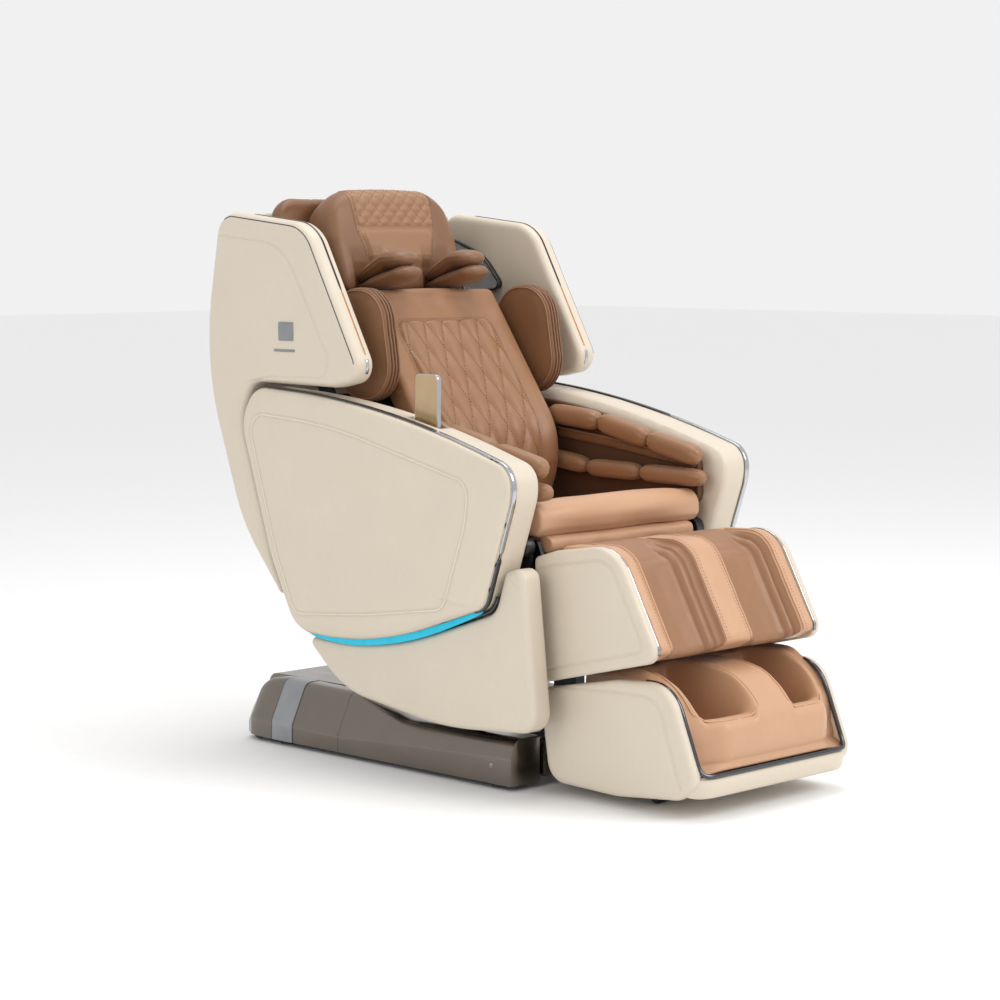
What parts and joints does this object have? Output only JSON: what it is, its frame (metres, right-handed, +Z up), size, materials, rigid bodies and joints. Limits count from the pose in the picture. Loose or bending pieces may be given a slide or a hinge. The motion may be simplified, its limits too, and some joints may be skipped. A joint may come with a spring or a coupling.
{
  "type": "massage chair",
  "caption": "Reclining full-body massage chair with side wings, arm pods, a roller mechanism in the back, calf and foot wells and a low metal base.",
  "frame": {"origin": "centre of the chair's outline on the floor", "axes": "+Z up, +X to the right seen from the front, the sitter faces -Y"},
  "size_m": [0.808, 1.3916, 1.292],
  "materials": {
    "cream_upholstery": "smooth stitched cream upholstery",
    "tan_leather": "soft light tan leather",
    "brown_leather": "soft mid-brown leather",
    "dark_leather": "dark brown leather",
    "casting": "satin gunmetal",
    "steel": "black powder coat",
    "chrome": "polished",
    "black_plastic": "matt moulded",
    "rubber": "matt",
    "roller_plastic": "moulded",
    "switch_red": "gloss",
    "light_bar": "lit light pipe",
    "remote_metal": "champagne satin"
  },
  "bodies": {
    "base": {"base_rail_left": "casting", "base_rail_right": "casting", "base_frame": "steel", "base_front_cover": "casting", "base_rear_cover": "casting", "tilt_actuator": "steel", "power_module": "black_plastic"},
    "transport_wheel_left": {"transport_wheel_left": "rubber"},
    "transport_wheel_right": {"transport_wheel_right": "rubber"},
    "power_switch": {"power_switch": "switch_red"},
    "seat": {"seat_frame": "steel", "seat_cushion": "tan_leather", "air_pump": "black_plastic", "remote_pocket": "chrome", "arm_body_left": "cream_upholstery", "arm_trim_left": "chrome", "arm_panel_left": "cream_upholstery", "arm_lining_left": "dark_leather", "arm_airbag_upper_left": "brown_leather", "arm_airbag_lower_left": "brown_leather", "lower_panel_left": "cream_upholstery", "light_strip_left": "light_bar", "arm_body_right": "cream_upholstery", "arm_trim_right": "chrome", "arm_panel_right": "cream_upholstery", "arm_lining_right": "dark_leather", "arm_airbag_upper_right": "brown_leather", "arm_airbag_lower_right": "brown_leather", "lower_panel_right": "cream_upholstery", "light_strip_right": "light_bar"},
    "remote": {"remote": "remote_metal"},
    "back": {"back_cover": "cream_upholstery", "back_frame": "steel", "back_cushion": "brown_leather", "head_cushion": "brown_leather", "head_rest_pad": "dark_leather", "back_shell_left": "cream_upholstery", "speaker_grille_left": "black_plastic", "back_shell_right": "cream_upholstery", "speaker_grille_right": "black_plastic"},
    "neck_pad_left": {"neck_pad_left": "brown_leather"},
    "neck_pad_right": {"neck_pad_right": "brown_leather"},
    "shoulder_airbag_left": {"shoulder_airbag_left": "brown_leather"},
    "shoulder_airbag_right": {"shoulder_airbag_right": "brown_leather"},
    "carriage": {"massage_carriage": "steel"},
    "roller_arm_left": {"roller_arm_left": "steel"},
    "roller_arm_right": {"roller_arm_right": "steel"},
    "calf": {"calf_side_left": "cream_upholstery", "calf_side_right": "cream_upholstery", "calf_pad": "brown_leather", "calf_frame": "steel"},
    "foot": {"foot_shell": "cream_upholstery", "foot_pad": "tan_leather"},
    "sole_roller": {"sole_roller": "black_plastic"},
    "foot_castor_left": {"foot_castor_left": "rubber"},
    "foot_castor_right": {"foot_castor_right": "rubber"},
    "massage_roller_upper_left": {"massage_roller_upper_left": "roller_plastic"},
    "massage_roller_upper_right": {"massage_roller_upper_right": "roller_plastic"},
    "massage_roller_lower_left": {"massage_roller_lower_left": "roller_plastic"},
    "massage_roller_lower_right": {"massage_roller_lower_right": "roller_plastic"}
  },
  "joints": [
    {"name": "seat_tilt", "type": "hinge", "parent": "base", "child": "seat", "pos_m": [0, 0.06, 0.225], "axis": [-1, 0, 0], "range_deg": [0, 18]},
    {"name": "back_recline", "type": "hinge", "parent": "seat", "child": "back", "pos_m": [0, 0.412, 0.34], "axis": [-1, 0, 0], "range_deg": [0, 25]},
    {"name": "calf_lift", "type": "hinge", "parent": "seat", "child": "calf", "pos_m": [0, -0.222, 0.528], "axis": [-1, 0, 0], "range_deg": [0, 45]},
    {"name": "foot_extend", "type": "slide", "parent": "calf", "child": "foot", "axis": [0, -0.2756, -0.9613], "range_m": [0, 0.09]},
    {"name": "sole_roller_spin", "type": "hinge", "parent": "foot", "child": "sole_roller", "pos_m": [0, -0.45, 0.066], "axis": [1, 0, 0], "continuous": true},
    {"name": "remote_lift", "type": "slide", "parent": "seat", "child": "remote", "axis": [0, 0, 1], "range_m": [0, 0.12]},
    {"name": "power_switch_rock", "type": "hinge", "parent": "base", "child": "power_switch", "pos_m": [0.091, 0.684, 0.066], "axis": [1, 0, 0], "range_deg": [-6, 6]},
    {"name": "massage_travel", "type": "slide", "parent": "back", "child": "carriage", "axis": [0, 0.5707, 0.8211], "range_m": [-0.08, 0.2]},
    {"name": "massage_arm_left_swing", "type": "hinge", "parent": "carriage", "child": "roller_arm_left", "pos_m": [0, 0.3586, 0.80719], "axis": [1, 0, 0], "range_deg": [-8, 8]},
    {"name": "massage_arm_right_swing", "type": "hinge", "parent": "carriage", "child": "roller_arm_right", "pos_m": [0, 0.3586, 0.80719], "axis": [1, 0, 0], "range_deg": [-8, 8]},
    {"name": "neck_squeeze_left", "type": "hinge", "parent": "back", "child": "neck_pad_left", "pos_m": [-0.108, 0.42, 1.14], "axis": [0, 0.5707, 0.8211], "range_deg": [0, 10]},
    {"name": "neck_squeeze_right", "type": "hinge", "parent": "back", "child": "neck_pad_right", "pos_m": [0.108, 0.42, 1.14], "axis": [0, -0.5707, -0.8211], "range_deg": [0, 10]},
    {"name": "shoulder_squeeze_left", "type": "slide", "parent": "back", "child": "shoulder_airbag_left", "axis": [1, 0, 0], "range_m": [0, 0.016]},
    {"name": "shoulder_squeeze_right", "type": "slide", "parent": "back", "child": "shoulder_airbag_right", "axis": [-1, 0, 0], "range_m": [0, 0.016]},
    {"name": "transport_wheel_left_spin", "type": "hinge", "parent": "base", "child": "transport_wheel_left", "pos_m": [-0.279, 0.64, 0.025], "axis": [1, 0, 0], "continuous": true},
    {"name": "foot_castor_left_spin", "type": "hinge", "parent": "foot", "child": "foot_castor_left", "pos_m": [-0.14, -0.5, 0.012], "axis": [1, 0, 0], "continuous": true},
    {"name": "massage_roller_upper_left_spin", "type": "hinge", "parent": "roller_arm_left", "child": "massage_roller_upper_left", "pos_m": [-0.053, 0.37021, 0.86245], "axis": [1, 0, 0], "continuous": true},
    {"name": "massage_roller_lower_left_spin", "type": "hinge", "parent": "roller_arm_left", "child": "massage_roller_lower_left", "pos_m": [-0.053, 0.31086, 0.77705], "axis": [1, 0, 0], "continuous": true},
    {"name": "transport_wheel_right_spin", "type": "hinge", "parent": "base", "child": "transport_wheel_right", "pos_m": [0.279, 0.64, 0.025], "axis": [1, 0, 0], "continuous": true},
    {"name": "foot_castor_right_spin", "type": "hinge", "parent": "foot", "child": "foot_castor_right", "pos_m": [0.14, -0.5, 0.012], "axis": [1, 0, 0], "continuous": true},
    {"name": "massage_roller_upper_right_spin", "type": "hinge", "parent": "roller_arm_right", "child": "massage_roller_upper_right", "pos_m": [0.053, 0.37021, 0.86245], "axis": [1, 0, 0], "continuous": true},
    {"name": "massage_roller_lower_right_spin", "type": "hinge", "parent": "roller_arm_right", "child": "massage_roller_lower_right", "pos_m": [0.053, 0.31086, 0.77705], "axis": [1, 0, 0], "continuous": true}
  ],
  "couplings": [
    {"joint": "foot_extend", "follows": "calf_lift", "m_per_rad": 0.11459},
    {"joint": "massage_arm_right_swing", "follows": "massage_arm_left_swing", "ratio": -1},
    {"joint": "neck_squeeze_right", "follows": "neck_squeeze_left", "ratio": 1},
    {"joint": "shoulder_squeeze_right", "follows": "shoulder_squeeze_left", "ratio": 1}
  ]
}
